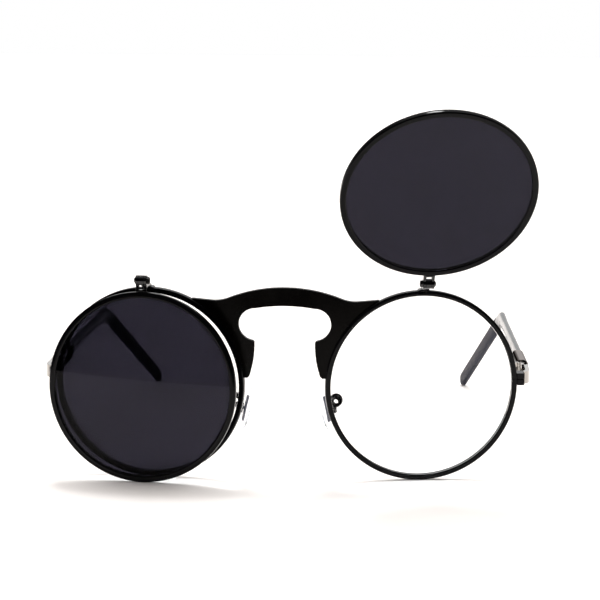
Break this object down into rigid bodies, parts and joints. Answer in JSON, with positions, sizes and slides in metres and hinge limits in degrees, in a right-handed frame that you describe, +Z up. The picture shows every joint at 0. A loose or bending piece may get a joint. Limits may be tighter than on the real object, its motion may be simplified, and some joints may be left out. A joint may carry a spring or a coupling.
{
  "type": "flip up sunglasses",
  "caption": "Round metal glasses with clear lenses, dark lenses that flip up on small hinges, a keyhole bridge, nose pads and folding temples with plastic tips.",
  "frame": {"origin": "middle of the bounding box at the table, under the frame and the temples", "axes": "+X to the glasses' side with the raised dark lens, +Y from the lenses back along the temples, +Z up"},
  "size_m": [0.1276, 0.1974, 0.0978],
  "materials": {
    "black_lacquer": "gloss",
    "clear_lens": "polished",
    "dark_lens": "polished",
    "nickel": "polished",
    "gunmetal": "polished",
    "tip_plastic": "polished",
    "pad_plastic": "satin",
    "silicone": "satin"
  },
  "bodies": {
    "frame": {"bridge_plate": "black_lacquer", "rim_left": "black_lacquer", "clear_lens_left": "clear_lens", "endpiece_left": "black_lacquer", "closing_block_left": "black_lacquer", "closing_screw_left": "nickel", "flip_bracket_left": "black_lacquer", "hinge_arm_left": "nickel", "hinge_screw_left": "nickel", "pad_arm_left": "black_lacquer", "pad_box_left": "black_lacquer", "pad_screw_left": "nickel", "rim_right": "black_lacquer", "clear_lens_right": "clear_lens", "endpiece_right": "black_lacquer", "closing_block_right": "black_lacquer", "closing_screw_right": "nickel", "flip_bracket_right": "black_lacquer", "hinge_arm_right": "nickel", "hinge_screw_right": "nickel", "pad_arm_right": "black_lacquer", "pad_box_right": "black_lacquer", "pad_screw_right": "nickel"},
    "flip_left": {"flip_rim_left": "black_lacquer", "dark_lens_left": "dark_lens", "flip_yoke_left": "black_lacquer", "flip_screw_left": "nickel", "flip_nut_left": "nickel"},
    "temple_left": {"temple_hinge_left": "nickel", "hinge_box_left": "gunmetal", "temple_bar_left": "black_lacquer", "temple_tip_left": "tip_plastic"},
    "nose_pad_left": {"nose_pad_left": "silicone", "pad_insert_left": "pad_plastic"},
    "flip_right": {"flip_rim_right": "black_lacquer", "dark_lens_right": "dark_lens", "flip_yoke_right": "black_lacquer", "flip_screw_right": "nickel", "flip_nut_right": "nickel"},
    "temple_right": {"temple_hinge_right": "nickel", "hinge_box_right": "gunmetal", "temple_bar_right": "black_lacquer", "temple_tip_right": "tip_plastic"},
    "nose_pad_right": {"nose_pad_right": "silicone", "pad_insert_right": "pad_plastic"}
  },
  "joints": [
    {"name": "flip_left_hinge", "type": "hinge", "parent": "frame", "child": "flip_left", "pos_m": [-0.0365, -0.07075, 0.05253], "axis": [-0.9874, 0.1582, 0], "range_deg": [0, 150]},
    {"name": "flip_right_hinge", "type": "hinge", "parent": "frame", "child": "flip_right", "pos_m": [0.0365, -0.07075, 0.05253], "axis": [-0.9874, -0.1582, 0], "range_deg": [-150, 0]},
    {"name": "temple_left_hinge", "type": "hinge", "parent": "frame", "child": "temple_left", "pos_m": [-0.0616, -0.04283, 0.0268], "axis": [0, 0, -1], "range_deg": [0, 80]},
    {"name": "temple_right_hinge", "type": "hinge", "parent": "frame", "child": "temple_right", "pos_m": [0.0616, -0.04283, 0.0268], "axis": [0, 0, 1], "range_deg": [0, 87]},
    {"name": "nose_pad_left_rock", "type": "hinge", "parent": "frame", "child": "nose_pad_left", "pos_m": [-0.0119, -0.05853, 0.0181], "axis": [-0.2079, 0.9781, 0], "range_deg": [-8, 8]},
    {"name": "nose_pad_right_rock", "type": "hinge", "parent": "frame", "child": "nose_pad_right", "pos_m": [0.0119, -0.05853, 0.0181], "axis": [0.2079, 0.9781, 0], "range_deg": [-8, 8]}
  ]
}
